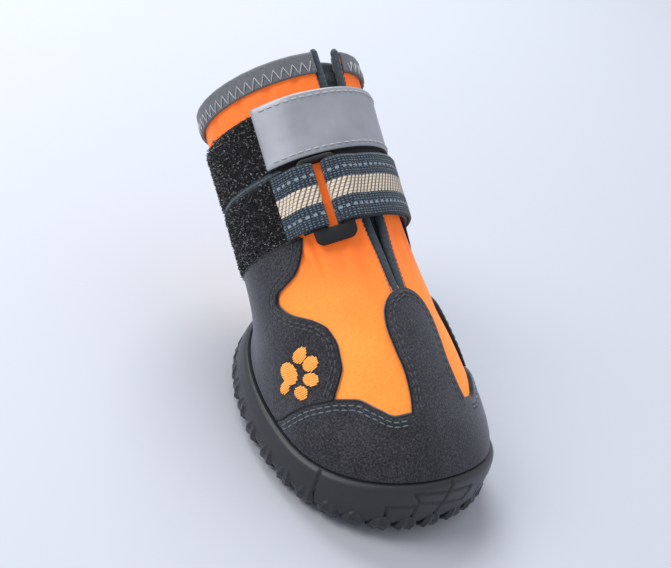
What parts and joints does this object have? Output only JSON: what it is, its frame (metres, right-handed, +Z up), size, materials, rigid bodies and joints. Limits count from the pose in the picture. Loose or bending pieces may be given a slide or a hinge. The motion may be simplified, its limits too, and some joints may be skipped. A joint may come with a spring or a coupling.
{
  "type": "dog shoe",
  "caption": "dog shoe with a cupped rubber sole, soft orange shaft leaning back, suede toe cap and side panels, slit front, reflective strap and webbing strap with slot ring",
  "frame": {"origin": "on the tread face of the sole's middle cross lug, at the middle of the foot's outline, on the floor", "axes": "+X towards the toe, +Y to the dog's left, +Z up from the floor"},
  "size_m": [0.1448, 0.0788, 0.1004],
  "materials": {
    "rubber": "moulded black rubber, dull with a faint cool sheen",
    "board": "dark lining cloth",
    "cloth": "fine knit, fluorescent orange",
    "suede": "dark grey suede with double stitching",
    "trim": "dark braided cord and ribbed cloth",
    "cuff": "grey binding with zigzag stitching",
    "fuzz": "black loop tape",
    "reflective": "smooth silver grey reflective cloth",
    "webbing": "flecked slate webbing with a beige stripe",
    "plastic": "black moulded plastic"
  },
  "bodies": {
    "root": {"outsole": "rubber", "insole": "board", "upper": "cloth", "toe_cap": "suede", "side_panel_right": "suede", "side_panel_left": "suede", "collar_binding": "cuff", "slit_cord_right": "trim", "slit_cord_left": "trim", "gusset": "trim", "tape_lower": "fuzz", "tape_upper": "fuzz", "strap_upper": "reflective", "slot_ring": "plastic", "webbing_right": "webbing", "webbing_left": "webbing"}
  },
  "joints": []
}
